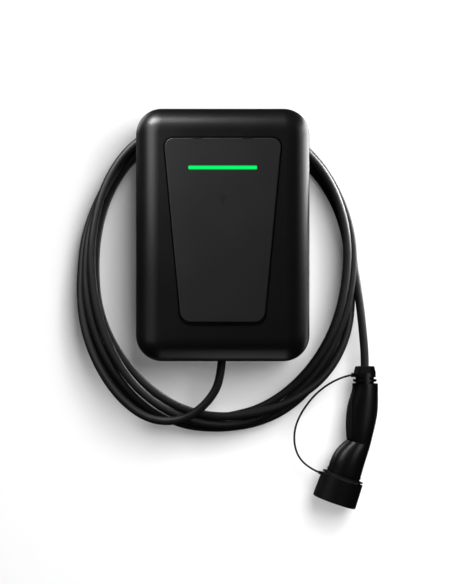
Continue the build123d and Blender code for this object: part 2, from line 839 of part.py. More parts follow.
# Clamp that holds the cable against its saddle
with BuildPart() as cable_clamp:
    with BuildSketch(at_depth(cable_depth)):
        with Locations((0, clamp_z)):
            Rectangle(clamp_width, clamp_height)
            with GridLocations(clamp_screw_pitch, 1, 2, 1):
                Circle(clamp_screw_diameter / 2, mode=Mode.SUBTRACT)
    extrude(amount=clamp_thickness)
    with BuildSketch(Plane.XY.offset(clamp_z - clamp_height / 2)):
        with Locations((0, -cable_depth)):
            Circle(cable_radius)
    extrude(amount=clamp_height, mode=Mode.SUBTRACT)
cable_clamp.part.label = "cable_clamp"
export_step(cable_clamp.part, "parts/cable_clamp.step")

with BuildPart() as clamp_screws:
    with BuildSketch(at_depth(cable_depth + clamp_thickness)):
        with Locations((0, clamp_z)):
            with GridLocations(clamp_screw_pitch, 1, 2, 1):
                Circle(clamp_screw_head / 2)
    extrude(amount=clamp_screw_head_height)
    with BuildSketch(at_depth(cable_depth + clamp_thickness)):
        with Locations((0, clamp_z)):
            with GridLocations(clamp_screw_pitch, 1, 2, 1):
                Circle(clamp_screw_diameter / 2)
    extrude(amount=-clamp_screw_length)
clamp_screws.part.label = "clamp_screws"
export_step(clamp_screws.part, "parts/clamp_screws.step")

# Leads from the end of the cable's sheath to the output terminal
lead_depth = main_board_front + terminal_depth / 2
lead_mouth = -terminal_z - terminal_height / 2
lead_end = lead_mouth + terminal_wire_depth
lead_bend = (lead_mouth - sheath_end_z) / 3
lead_turns = [math.tau * (pole + 0.25) / terminal_poles for pole in range(terminal_poles)]
lead_starts = sorted((lead_circle * math.cos(turn), lead_circle * math.sin(turn)) for turn in lead_turns)
with BuildPart() as output_leads:
    for pole, (start_x, start_rise) in enumerate(lead_starts):
        start_depth = cable_depth + start_rise
        end_x = (pole - (terminal_poles - 1) / 2) * terminal_pitch
        with BuildLine() as lead_line:
            FilletPolyline(
                (start_x, -start_depth, sheath_end_z),
                (start_x, -start_depth, sheath_end_z + lead_bend),
                (end_x, -lead_depth, lead_mouth - lead_bend / 2),
                (end_x, -lead_depth, lead_end),
                radius=lead_bend / 3,
            )
        with BuildSketch(Plane((start_x, -start_depth, sheath_end_z))):
            Circle(lead_diameter / 2)
        sweep(path=lead_line.line)
output_leads.part.label = "output_leads"
export_step(output_leads.part, "parts/output_leads.step")

# Charging cable: the lead runs out of the seal, down in front of the coil and into its left side
lead_points = [
    (0, -cable_depth, sheath_end_z),
    (0, -cable_depth, tub_bottom - cable_drop),
    (-21, -66, -252),
    (-62, -64, -281),
    (-113, -61, -279),
    (-159, -56, -244),
    (-192.5, -48, -192),
    (-211, -38, -140),
    (-217, -30, -92),
    (-216, -26, -55),
]
lead_path, lead_radii = cord_path(lead_points)
with BuildPart() as cable_lead:
    with BuildSketch(Plane(lead_points[0])):
        Circle(cable_radius)
    sweep(path=lead_path)
cable_lead.part.label = "cable_lead"
export_step(cable_lead.part, "parts/cable_lead.step")
report_cord("cable_lead", cable_lead.part, lead_path, lead_radii, cable_diameter)

# Coil: the outer shape of the turns that lie on the neck
with BuildPart() as cable_coil:
    with BuildSketch(at_depth(coil_back)):
        add(loop_outline(coil_inner_radius + coil_thickness, coil_shift))
        add(loop_outline(coil_inner_radius, 0), mode=Mode.SUBTRACT)
    extrude(amount=coil_front - coil_back)
    fillet(cable_coil.faces().sort_by(Axis.Y)[0].edges(), coil_round)
    fillet(cable_coil.faces().sort_by(Axis.Y)[-1].edges(), coil_round)
cable_coil.part.label = "cable_coil"
export_step(cable_coil.part, "parts/cable_coil.step")

# Tail: out of the coil on the right and down into the connector's nut
ring_bottom = handle_top + 2 * neck_gap + disc_thickness
nut_bottom = ring_bottom + ring_thickness
nut_top = nut_bottom + nut_height
tail_points = [
    (199.5, -26, -44),
    (205, -26, -76),
    (210, -28, -112),
    (212.9, -31, -142),
    (215.2, -34, -168),
    (connector_x, -connector_depth, nut_top + tail_straight),
    (connector_x, -connector_depth, nut_bottom),
]
tail_path, tail_radii = cord_path(tail_points)
with BuildPart() as cable_tail:
    with BuildSketch(Plane(tail_points[-1])):
        Circle(cable_radius)
    sweep(path=tail_path)
cable_tail.part.label = "cable_tail"
export_step(cable_tail.part, "parts/cable_tail.step")
report_cord("cable_tail", cable_tail.part, tail_path, tail_radii, cable_diameter)


def connector_plane(z):
    """A level plane centred on the handle's axis."""
    return Plane((connector_x, -connector_depth, z))


# Cable nut, a tapered hexagon that clamps the cable at the top of the handle
with BuildPart() as cable_nut:
    with BuildSketch(connector_plane(nut_bottom)):
        RegularPolygon(nut_across_flats / 2, 6, major_radius=False)
    extrude(amount=nut_height, taper=nut_taper)
    chamfer(cable_nut.faces().sort_by(Axis.Z)[-1].edges(), nut_chamfer)
    with BuildSketch(connector_plane(nut_bottom)):
        Circle(cable_radius)
    extrude(amount=nut_height, mode=Mode.SUBTRACT)
cable_nut.part.label = "cable_nut"
export_step(cable_nut.part, "parts/cable_nut.step")

# Ring under the nut, with the lug that the cap's tether hangs from
with BuildPart() as tether_ring:
    with BuildSketch(connector_plane(ring_bottom)):
        Circle(ring_diameter / 2)
        with Locations((-ring_diameter / 2, 0)):
            Rectangle(2 * tether_lug_reach, tether_lug_width)
        Circle(spigot_diameter / 2 + ring_clearance, mode=Mode.SUBTRACT)
    extrude(amount=ring_thickness)
tether_ring.part.label = "tether_ring"
export_step(tether_ring.part, "parts/tether_ring.step")

# Connector handle: a grip that swells under the fingers, blended into the tilted head
tilt = math.radians(head_tilt)
head_axis = Vector(-math.sin(tilt), 0, -math.cos(tilt))
head_side = Vector(math.cos(tilt), 0, -math.sin(tilt))
head_base = Plane(
    origin=(connector_x + head_x, -connector_depth, handle_top - head_drop), x_dir=head_side, z_dir=head_axis
)
# Each grip section: drop below the handle's top, middle, half width, half depth
grip_sections = [
    (0.0, 0.3, 19.7, handle_half_depth),
    (12.0, 0.0, 20.1, handle_half_depth),
    (32.0, -3.0, 23.0, handle_half_depth),
    (52.0, -5.3, 23.4, handle_half_depth),
    (70.0, -7.3, 21.5, handle_half_depth),
    (85.0, -8.5, 19.1, handle_half_depth - 1),
    (101.0, -9.6, 15.5, handle_half_depth - 3),
]
# Each head section: distance before its end, middle, half width, half depth
head_sections = [
    (-58.0, 7.0, 17.0, 16.5),
    (-40.0, 1.9, 22.8, 22.5),
    (-24.0, 0.0, 25.2, 25.0),
    (-10.0, 0.0, head_radius, head_radius),
    (0.0, 0.0, head_radius, head_radius),
]
# Seams of the soft grips, as lines seen from the front: middle at the start, middle at the end
finger_seam = (-19.5, -21.0)
thumb_seam = (17.6, 9.8)


def grip_form():
    """The whole grip, from the handle's top into the head."""
    with BuildPart() as grip:
        for drop, middle, half_width, half_depth in grip_sections:
            with BuildSketch(connector_plane(handle_top - drop)):
                with Locations((middle, 0)):
                    Ellipse(half_width, half_depth)
        loft()
    return grip.part


def grip_field(seam, side, grow):
    """The region outside a seam, on the side given, between the grip's start and its end."""
    far = side * (neck_diameter + handle_half_depth)
    with BuildPart() as field:
        with BuildSketch(at_depth(connector_depth)):
            with BuildLine():
                Polyline(
                    (connector_x + far, handle_top - grip_start + grow),
                    (connector_x + seam[0] - side * grow, handle_top - grip_start + grow),
                    (connector_x + seam[1] - side * grow, handle_top - grip_end - grow),
                    (connector_x + far, handle_top - grip_end - grow),
                    close=True,
                )
            make_face()
        extrude(amount=2 * handle_half_depth, both=True)
    return field.part


with BuildPart() as connector_handle:
    add(grip_form())
    add(grip_field(finger_seam, -1, grip_seam), mode=Mode.SUBTRACT)
    add(grip_field(thumb_seam, 1, grip_seam), mode=Mode.SUBTRACT)
    for reach, middle, half_width, half_depth in head_sections:
        with BuildSketch(head_base.offset(reach)):
            with Locations((middle, 0)):
                Ellipse(half_width, half_depth)
    loft()
    with BuildSketch(head_base.offset(-bead_at)):
        Circle(head_radius + bead_height)
    extrude(amount=bead_width)
    with BuildSketch(connector_plane(handle_top)):
        Circle(neck_diameter / 2)
    extrude(amount=2 * neck_gap + disc_thickness)
    with BuildSketch(connector_plane(handle_top + neck_gap)):
        Circle(disc_diameter / 2)
    extrude(amount=disc_thickness)
    with BuildSketch(connector_plane(ring_bottom)):
        Circle(spigot_diameter / 2)
    extrude(amount=ring_thickness)
    with BuildSketch(head_base):
        Circle(nose_spigot)
    extrude(amount=-nose_spigot_length, mode=Mode.SUBTRACT)
connector_handle.part.label = "connector_handle"
export_step(connector_handle.part, "parts/connector_handle.step")

# Soft grips let into the handle: one under the fingers, one under the thumb
with BuildPart() as finger_grip:
    add(grip_form())
    add(grip_field(finger_seam, -1, 0), mode=Mode.INTERSECT)
finger_grip.part.label = "finger_grip"
export_step(finger_grip.part, "parts/finger_grip.step")

with BuildPart() as thumb_grip:
    add(grip_form())
    add(grip_field(thumb_seam, 1, 0), mode=Mode.INTERSECT)
thumb_grip.part.label = "thumb_grip"
export_step(thumb_grip.part, "parts/thumb_grip.step")

# Flat seal between the head and the nose
with BuildPart() as nose_seal:
    with BuildSketch(head_base):
        Circle(flange_radius)
        Circle(nose_spigot, mode=Mode.SUBTRACT)
    extrude(amount=flange_thickness)
nose_seal.part.label = "nose_seal"
export_step(nose_seal.part, "parts/nose_seal.step")

# Contact insert: the flat-topped nose with its seven contact holes
nose_base = head_base.offset(flange_thickness)
nose_tip = nose_base.offset(nose_length)
power_row = [(0, -power_side), (0, 0), (0, power_side)]
power_places = power_row + [(-power_lower, -pair_half), (-power_lower, pair_half)]
signal_places = [(signal_upper, -pair_half), (signal_upper, pair_half)]
with BuildPart() as contact_insert:
    with BuildSketch(nose_base):
        Circle(nose_radius)
        with Locations((nose_flat, 0)):
            Rectangle(2 * nose_radius, 2 * nose_radius, align=(Align.MIN, Align.CENTER), mode=Mode.SUBTRACT)
    extrude(amount=nose_length)
    chamfer(contact_insert.faces().sort_by(Axis(nose_base.origin, head_axis))[-1].edges(), nose_edge)
    with BuildSketch(nose_base):
        Circle(nose_spigot)
    extrude(amount=-flange_thickness - nose_spigot_length)
    with BuildSketch(nose_tip):
        with Locations(*power_places):
            Circle(power_hole / 2)
        with Locations(*signal_places):
            Circle(signal_hole / 2)
    extrude(amount=-contact_depth, mode=Mode.SUBTRACT)
contact_insert.part.label = "contact_insert"
export_step(contact_insert.part, "parts/contact_insert.step")

# Contact sleeves, set back in the insert's holes
with BuildPart() as contact_sleeves:
    with BuildSketch(nose_tip.offset(-contact_depth)):
        with Locations(*power_places):
            Circle(power_hole / 2)
            Circle(power_hole / 2 - sleeve_wall, mode=Mode.SUBTRACT)
        with Locations(*signal_places):
            Circle(signal_hole / 2)
            Circle(signal_hole / 2 - sleeve_wall, mode=Mode.SUBTRACT)
    extrude(amount=contact_depth - contact_recess)
contact_sleeves.part.label = "contact_sleeves"
export_step(contact_sleeves.part, "parts/contact_sleeves.step")

# Cap: a drafted cup over the nose, with a lug for the tether at its mouth
cap_base = head_base.offset(cap_start)
with BuildPart() as connector_cap:
    with BuildSketch(cap_base):
        Circle(cap_mouth_radius)
    with BuildSketch(cap_base.offset(cap_length)):
        Circle(cap_mouth_radius + cap_draft)
    loft()
    fillet(connector_cap.faces().sort_by(Axis(cap_base.origin, head_axis))[-1].edges(), cap_edge)
    with BuildSketch(cap_base):
        with Locations((-cap_mouth_radius, 0)):
            Rectangle(2 * tether_lug_reach, tether_lug_width)
    extrude(amount=tether_lug_thickness)
    with BuildSketch(cap_base):
        Circle(cap_inner_radius)
    extrude(amount=cap_length - cap_end, mode=Mode.SUBTRACT)
connector_cap.part.label = "connector_cap"
export_step(connector_cap.part, "parts/connector_cap.step")

# Tether from the ring's lug round to the cap's lug
lug_end = tether_lug_reach + tether_clearance
ring_lug = (connector_x - ring_diameter / 2 - lug_end, ring_bottom + ring_thickness / 2)
cap_lug_point = cap_base.offset(tether_lug_thickness / 2).from_local_coords(
    Vector(-cap_mouth_radius - lug_end, 0, 0)
)
tether_points = [
    (ring_lug[0], -connector_depth, ring_lug[1]),
    (174, -connector_depth, -214.5),
    (137, -connector_depth, -240),
    (109, -connector_depth, -285),
    (107.5, -connector_depth, -324),
    (124, -connector_depth, -350),
    (cap_lug_point.X, -connector_depth, cap_lug_point.Z),
]
tether_path, tether_radii = cord_path(tether_points)
tether_direction = Vector(*tether_points[1]) - Vector(*tether_points[0])
with BuildPart() as cap_tether:
    with BuildSketch(Plane(origin=tether_points[0], z_dir=tether_direction)):
        Circle(tether_diameter / 2)
    sweep(path=tether_path)
cap_tether.part.label = "cap_tether"
export_step(cap_tether.part, "parts/cap_tether.step")
report_cord("cap_tether", cap_tether.part, tether_path, tether_radii, tether_diameter)
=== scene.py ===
# %% [markdown]
# # A wall charger for vehicles, with its cable
#
# The real thing is a black plastic box on a white wall. A charging cable leaves it underneath, is wound
# four and a half times round the neck behind the box, and ends in a capped connector at the lower right.
#
# The hard parts were drawn in CAD and come in as a fixed frame, in metres. This lesson gives them their
# finishes, makes the cable and the cap's tether as soft cords, and sets up wall, lights and camera.

import json
import math

import bpy
import numpy as np
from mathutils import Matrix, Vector


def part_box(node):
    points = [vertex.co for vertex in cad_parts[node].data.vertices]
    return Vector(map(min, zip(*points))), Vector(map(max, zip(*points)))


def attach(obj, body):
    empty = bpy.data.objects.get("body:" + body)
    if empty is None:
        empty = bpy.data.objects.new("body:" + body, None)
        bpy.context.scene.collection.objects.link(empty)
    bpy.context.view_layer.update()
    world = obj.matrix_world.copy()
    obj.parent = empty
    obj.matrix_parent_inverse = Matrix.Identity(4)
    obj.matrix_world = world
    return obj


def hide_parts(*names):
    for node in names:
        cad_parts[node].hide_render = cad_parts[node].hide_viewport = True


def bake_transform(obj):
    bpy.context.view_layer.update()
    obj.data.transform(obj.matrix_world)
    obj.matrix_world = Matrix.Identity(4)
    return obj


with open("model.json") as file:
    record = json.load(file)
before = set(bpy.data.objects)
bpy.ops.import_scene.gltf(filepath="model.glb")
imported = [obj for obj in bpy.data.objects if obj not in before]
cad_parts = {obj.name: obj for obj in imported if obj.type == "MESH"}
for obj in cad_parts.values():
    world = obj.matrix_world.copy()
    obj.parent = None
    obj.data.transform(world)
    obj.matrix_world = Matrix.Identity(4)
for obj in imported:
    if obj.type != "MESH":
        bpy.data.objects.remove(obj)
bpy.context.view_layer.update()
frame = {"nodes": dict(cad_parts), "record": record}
MM = 0.001

# %% [markdown]
# ## Camera
#
# The photograph was taken with a long lens, straight from the front: the housing's sides can't be seen
# and its edges run parallel. A camera three metres away, at the height of the picture's middle, sees it
# the same way, so no lens shift is needed.

# %% Camera
VIEW_CENTRE = Vector((0.00485, -0.082, -0.0852))
VIEW_DISTANCE = 3.0
VIEW_HEIGHT = 0.876

camera_data = bpy.data.cameras.new("camera")
camera_data.sensor_width = 36.0
camera_data.lens = camera_data.sensor_width * VIEW_DISTANCE / VIEW_HEIGHT
camera = bpy.data.objects.new("camera", camera_data)
camera.location = VIEW_CENTRE - Vector((0, VIEW_DISTANCE, 0))
camera.rotation_euler = (math.pi / 2, 0, 0)
bpy.context.scene.collection.objects.link(camera)
bpy.context.scene.camera = camera
print("lens", round(camera_data.lens, 1), "mm")

# %% [markdown]
# ## The charging cable's route
#
# A charging cable is stiff and heavy, so each turn takes its own place against the others. A helix would be
# quicker to write, but all its turns look alike, so the route is a list of points for one smooth curve. The
# lead out of the box and the tail down to the connector are short, and their points are given one by one.

# %% Lead and tail
CABLE_DIAMETER = 12.6 * MM
lead_route = MM * np.array(
    [
        (0, -67, -146),
        (0, -67, -211),
        (-21, -66, -252),
        (-62, -64, -281),
        (-113, -61, -279),
        (-159, -58, -244),
        (-192.5, -53, -192),
        (-211, -46, -140),
        (-216.6, -40, -92),
        (-215.5, -36, -55),
    ]
)
tail_route = MM * np.array(
    [
        (199.5, -36, -44),
        (204.7, -36, -76),
        (209.7, -36, -112),
        (212.8, -36, -142),
        (215.2, -36, -168),
        (216.2, -36, -189.2),
        (216.2, -36, -208.4),
    ]
)
print("lead", len(lead_route), "points, tail", len(tail_route), "points")

# %% [markdown]
# ## Where the turns lie
#
# The turns between lead and tail are given by keys. Each says how far a strand lies out from the neck and in
# front of the wall at one angle, counted clockwise from the bottom, seen from the front. So a strand can be
# moved at one place without touching its points. The distances are set so that strands that meet sink less
# than two millimetres into each other.

# %% Keys of the turns
# Each key: angle in degrees, then in mm the distance out from the neck and the distance in front of the wall
first_turn = [
    (90, 28.8, 23.5),
    (105, 24, 20.4),
    (120, 23, 17.9),
    (140, 30.1, 12.3),
    (180, 24.2, 10.8),
    (225, 17.7, 8.7),
    (270, 12.4, 3.6),
    (300, 15, 11),
    (325, 25, 18.4),
    (340, 25.7, 20),
    (355, 24.3, 21),
    (365, 26, 22),
    (375, 30, 24),
    (390, 33, 28),
    (405, 32.7, 32),
    (420, 30.8, 34.9),
    (435, 27, 38.2),
]
second_turn = [
    (450, 21.7, 34.3),
    (465, 19.8, 32.8),
    (480, 20.7, 33.7),
    (500, 28, 30.4),
    (540, 25, 29.8),
    (582, 20.5, 31.2),
    (600, 14.8, 36.7),
    (630, 12.2, 40),
    (660, 12.8, 38.9),
    (675, 14, 36.5),
    (690, 15.8, 31.8),
    (705, 19.4, 33),
    (720, 20.1, 37.4),
    (735, 19.5, 42.1),
    (750, 20.4, 42.8),
    (765, 20, 44),
    (780, 17.4, 44.2),
]
third_turn = [
    (810, 13.7, 44.3),
    (825, 15, 45),
    (840, 21.6, 46.4),
    (860, 31.3, 42.9),
    (900, 22, 42.6),
    (942, 16, 43.2),
    (955, 11.5, 47.3),
    (970, 6.2, 49.3),
    (990, 3, 48.8),
    (1020, 2.8, 46.9),
    (1035, 2.2, 42.8),
    (1050, 3, 37),
    (1065, 5.2, 32),
    (1080, 8.5, 20),
    (1095, 24, 12),
    (1110, 40.5, 13),
    (1125, 41, 16),
    (1140, 36, 19),
    (1155, 27, 20.2),
]
fourth_turn = [
    (1170, 16.5, 19.3),
    (1200, 14.5, 7.6),
    (1220, 18.5, 7.1),
    (1260, 11.9, 7.5),
    (1302, 5.8, 11.5),
    (1330, 4, 14.3),
    (1345, 5.5, 16.3),
    (1360, 12.6, 18.3),
    (1370, 22, 26.7),
    (1385, 28.3, 35.1),
    (1395, 26.8, 40.6),
    (1405, 20.6, 45.8),
    (1415, 14.5, 48.5),
    (1425, 9.2, 47.6),
    (1435, 7, 43.7),
    (1455, 7.5, 37.1),
    (1470, 8.1, 35.1),
    (1485, 9.2, 32),
    (1500, 12.5, 31),
    (1510, 13, 31),
]
last_half_turn = [
    (1530, 7.9, 31.2),
    (1545, 8.2, 26.8),
    (1560, 12.2, 24.2),
    (1570, 15, 23.4),
    (1580, 19.4, 21),
    (1620, 15.9, 20.9),
    (1662, 10.6, 23.2),
    (1680, 9.1, 25),
    (1695, 10, 26.6),
    (1710, 12.8, 27.2),
]
strand_keys = np.array(first_turn + second_turn + third_turn + fourth_turn + last_half_turn, float)
print("turns", len(strand_keys), "keys")

# %% [markdown]
# ## From keys to points
#
# Straight lines from key to key would show as kinks in the cable. A cubic piece between each two keys has
# none, and a change to one key only moves the strand near it.

# %% Points of the turns
# Lengths in mm
NECK_RADIUS = 185.8
NECK_HEIGHT = -31.5
LOWER_DROP = 50.0
STAND_OFF = 10.0
# The stand-off grows from none to all of it as the turn's cosine grows from minus this to nought
STAND_OFF_RISE = 0.75
# A turn that stands off is drawn in by its stand-off divided by this
STAND_OFF_DRAW_IN = 15
# Angles in degrees
TURN_STEP = 10.0
FIRST_ANGLE = 95.0
LAST_ANGLE = 1706.0


def along_keys(x, keys):
    """Cubic curve through the keys' values, with the slope at each key taken from its two neighbours."""
    place, values = keys[:, 0], keys[:, 1:]
    slopes = np.gradient(values, place, axis=0)
    left = np.clip(np.searchsorted(place, x) - 1, 0, len(place) - 2)
    span = (place[left + 1] - place[left])[:, None]
    t = (x[:, None] - place[left][:, None]) / span
    bend_in = (t**3 - 2 * t**2 + t) * span * slopes[left]
    bend_out = (t**3 - t**2) * span * slopes[left + 1]
    rise = 3 * t**2 - 2 * t**3
    return (1 - rise) * values[left] + rise * values[left + 1] + bend_in + bend_out


def coil_turns(angles):
    """Circle above the neck's middle and longer ellipse below it, plus each strand's own distance.

    Below the neck the stiff turns stand further off the wall, and come in by a fifteenth of that, so that
    they look as wide as before from three metres away. A curve of order three runs inside its points by a
    quarter of one minus the step's cosine, so the points lie that much further out.
    """
    out, front = along_keys(angles, strand_keys).T
    turn = np.radians(angles)
    below = np.clip(1 + np.cos(turn) / STAND_OFF_RISE, 0, 1)
    stand_off = STAND_OFF * below**2 * (3 - 2 * below)
    radius = NECK_RADIUS + out - stand_off / STAND_OFF_DRAW_IN
    drop = np.where(np.cos(turn) > 0, radius + LOWER_DROP, radius)
    inside = (3 + math.cos(math.radians(TURN_STEP))) / 4
    x = -radius / inside * np.sin(turn)
    z = NECK_HEIGHT - drop / inside * np.cos(turn)
    return MM * np.column_stack([x, -front - stand_off, z])


coil_route = coil_turns(np.arange(FIRST_ANGLE, LAST_ANGLE, TURN_STEP))
cable_route = np.concatenate([lead_route, coil_route, tail_route])
print("cable route", len(cable_route), "points")

# %% [markdown]
# ## The cable as one curve
#
# A curve object with a round bevel is the natural way to make a cable: the points stay editable and the
# tube follows. The spline is a NURBS curve, which glides past its points instead of bending at each.
# Its order has to be set after the points are added, or it would stay a chain of straight runs. A guide
# with no bevel comes first, because its points give the length.

# %% Cable length
def cord_curve(name, points, diameter):
    """One open NURBS spline of order three along the route, with a round bevel of the cord's diameter.

    The bevel is one metre deep and each point's radius scales it down, because a curve's box in Blender is
    its points plus their radius.
    """
    data = bpy.data.curves.new(name, "CURVE")
    data.dimensions = "3D"
    spline = data.splines.new("NURBS")
    spline.points.add(len(points) - 1)
    spline.points.foreach_set("co", np.column_stack([points, np.ones(len(points))]).ravel())
    spline.points.foreach_set("radius", np.full(len(points), diameter / 2))
    spline.order_u = 3
    spline.use_endpoint_u = True
    spline.resolution_u = 8
    data.bevel_depth = 1.0 if diameter > 0 else 0.0
    data.bevel_resolution = 6
    data.use_fill_caps = diameter > 0
    curve = bpy.data.objects.new(name, data)
    bpy.context.scene.collection.objects.link(curve)
    return curve


def curve_points(curve):
    """The points that Blender works out along a curve with no bevel."""
    bpy.context.view_layer.update()
    line = bpy.data.meshes.new_from_object(curve.evaluated_get(bpy.context.evaluated_depsgraph_get()))
    points = np.empty(3 * len(line.vertices), np.float32)
    line.vertices.foreach_get("co", points)
    bpy.data.meshes.remove(line)
    return points.reshape(-1, 3).astype(float)


def line_length(points):
    """Sum of the distances between neighbouring points."""
    return float(np.linalg.norm(np.diff(points, axis=0), axis=1).sum())


guide = cord_curve("cable_guide", cable_route, 0.0)
CABLE_LENGTH = line_length(curve_points(guide))
bpy.data.objects.remove(guide)
print("cable", round(CABLE_LENGTH, 2), "m")

# %% [markdown]
# ## The cable in place
#
# The finished cable takes the place of three CAD tubes. It leaves the box underneath and carries the
# connector, whose pieces are listed by name.

# %% Cable
charging_cable = cord_curve("charging_cable", cable_route, CABLE_DIAMETER)
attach(charging_cable, "housing")
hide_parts("cable_lead", "cable_coil", "cable_tail")
CONNECTOR_NODES = [
    "cable_nut",
    "tether_ring",
    "connector_handle",
    "finger_grip",
    "thumb_grip",
    "nose_seal",
    "contact_insert",
    "contact_sleeves",
    "connector_cap",
]
print("cable carries", len(CONNECTOR_NODES), "pieces")

# %% [markdown]
# ## The cap's tether
#
# A thin rubber cord keeps the cap with the connector. It hangs in a loop from the ring on the handle to the
# cap. The same kind of guide as for the cable smooths a few listed points.

# %% Tether route
tether_route = MM * np.array(
    [
        (195.2, -36, -211.6),
        (174, -36, -216.5),
        (137.5, -36, -242),
        (109.5, -36, -285),
        (108.3, -36, -324),
        (125, -36, -350),
        (145.6, -36, -359.4),
    ]
)
tether_guide = cord_curve("tether_guide", tether_route, 0.0)
tether_line = curve_points(tether_guide)
bpy.data.objects.remove(tether_guide)
print("tether", round(line_length(tether_line) / MM), "mm")

# %% [markdown]
# ## The tether as a mesh
#
# When the cap is pulled off, the tether has to follow at one end only. A curve would ride on one body, so
# this is a mesh instead: a circle is carried along the smooth line as whole arrays.

# %% Tether
TETHER_DIAMETER = 3.1 * MM
TETHER_SIDES = 12


def mesh_piece(name, points, faces, smooth=True):
    """A new object at the origin from rows of points and faces."""
    mesh = bpy.data.meshes.new(name)
    mesh.from_pydata(points.tolist(), [], faces)
    mesh.update()
    if smooth:
        mesh.shade_smooth()
    piece = bpy.data.objects.new(name, mesh)
    bpy.context.scene.collection.objects.link(piece)
    return piece


def grid_faces(rows, columns):
    """Four-sided faces of a grid whose rows close on themselves, with a flat face over each end."""
    row, column = np.meshgrid(np.arange(rows - 1), np.arange(columns), indexing="ij")
    after = (column + 1) % columns
    here, beyond = row * columns, (row + 1) * columns
    sides = np.stack([here + column, here + after, beyond + after, beyond + column], -1)
    first = np.arange(columns)[::-1].tolist()
    last = ((rows - 1) * columns + np.arange(columns)).tolist()
    return sides.reshape(-1, 4).tolist() + [first, last]


def level_tube(points, diameter, sides):
    """A circle carried along a path that lies in an upright plane: one axis of it is always Y."""
    along = np.gradient(points, axis=0)
    along /= np.linalg.norm(along, axis=1, keepdims=True)
    depth = np.array([0.0, 1.0, 0.0])
    across = np.cross(depth, along)
    turn = np.linspace(0, 2 * np.pi, sides, endpoint=False)
    ring = np.cos(turn)[None, :, None] * across[:, None, :] + np.sin(turn)[None, :, None] * depth
    return (points[:, None, :] + diameter / 2 * ring).reshape(-1, 3)


tether_points = level_tube(tether_line, TETHER_DIAMETER, TETHER_SIDES)
tether = mesh_piece("tether", tether_points, grid_faces(len(tether_line), TETHER_SIDES))
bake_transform(tether)
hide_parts("cap_tether")
print("tether", len(tether_points), "points")

# %% [markdown]
# ## The reader's sign
#
# Four short lines, each shorter than the one above it, show where a card is held to the panel. On the
# real panel they are printed, a shade darker than the grain. Each line is a rounded stroke: an outline of
# straight sides and half circles, standing a hair above the panel.

# %% Reader sign
# Lengths in mm; each row has its height on the panel and its length
SIGN_X = 0.0
SIGN_THICKNESS = 1.3
SIGN_ROWS = np.array([(55.8, 11.4), (51.8, 7.6), (48.3, 5.4), (44.6, 2.2)])
SIGN_PROUD = 0.04
END_POINTS = 8
panel_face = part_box("front_panel")[0].y / MM


def stroke_outline(length, thickness):
    """Half circle on the right, half circle on the left, joined by straight sides."""
    turn = np.linspace(-np.pi / 2, np.pi / 2, END_POINTS)
    half = (length - thickness) / 2
    right = np.column_stack([half + thickness / 2 * np.cos(turn), thickness / 2 * np.sin(turn)])
    return np.concatenate([right, -right])


outlines = np.stack([stroke_outline(length, SIGN_THICKNESS) + (SIGN_X, z) for z, length in SIGN_ROWS])
count, corners = outlines.shape[:2]
flat = outlines.reshape(-1, 2)
sign_points = np.column_stack([flat[:, 0], np.full(len(flat), panel_face - SIGN_PROUD), flat[:, 1]])
sign_faces = np.arange(count * corners).reshape(count, corners).tolist()
reader_sign = mesh_piece("reader_sign", MM * sign_points, sign_faces, smooth=False)
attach(reader_sign, "panel")
print("reader sign", count, "lines")

# %% [markdown]
# ## Shared shader groups
#
# Moulded plastic is never one flat colour. The mould leaves a fine grain that breaks up the highlights,
# and handling and cooling leave broad, faint changes in gloss. Both effects are needed on almost every
# material here, so each is a node group with named inputs, built once.

# %% Shader groups
def new_group(name, inputs, outputs):
    """An empty shader group with named sockets, each given as name, kind and default."""
    group = bpy.data.node_groups.new(name, "ShaderNodeTree")
    for label, kind, default in inputs:
        socket = group.interface.new_socket(label, in_out="INPUT", socket_type=kind)
        socket.default_value = default
    for label, kind in outputs:
        group.interface.new_socket(label, in_out="OUTPUT", socket_type=kind)
    return group, group.nodes.new("NodeGroupInput"), group.nodes.new("NodeGroupOutput")


def math_node(group, operation, first, second):
    """A Math node whose inputs are sockets or numbers."""
    node = group.nodes.new("ShaderNodeMath")
    node.operation = operation
    for socket, value in zip(node.inputs, (first, second)):
        if isinstance(value, bpy.types.NodeSocket):
            group.links.new(value, socket)
        else:
            socket.default_value = value
    return node.outputs[0]


def grain_group():
    """Fine cells with soft pits between them: noise for the grain plus cells for the pits."""
    group, given, result = new_group(
        "moulded_grain",
        [("Scale", "NodeSocketFloat", 900.0), ("Pits", "NodeSocketFloat", 0.4)],
        [("Height", "NodeSocketFloat"), ("Speckle", "NodeSocketFloat")],
    )
    place = group.nodes.new("ShaderNodeTexCoord").outputs["Object"]
    noise = group.nodes.new("ShaderNodeTexNoise")
    noise.inputs["Detail"].default_value = 3.0
    noise.inputs["Roughness"].default_value = 0.6
    cells = group.nodes.new("ShaderNodeTexVoronoi")
    cells.feature = "SMOOTH_F1"
    for texture in (noise, cells):
        group.links.new(place, texture.inputs["Vector"])
        group.links.new(given.outputs["Scale"], texture.inputs["Scale"])
    pits = math_node(group, "MULTIPLY", cells.outputs["Distance"], given.outputs["Pits"])
    group.links.new(math_node(group, "ADD", noise.outputs["Fac"], pits), result.inputs["Height"])
    group.links.new(noise.outputs["Fac"], result.inputs["Speckle"])
    return group


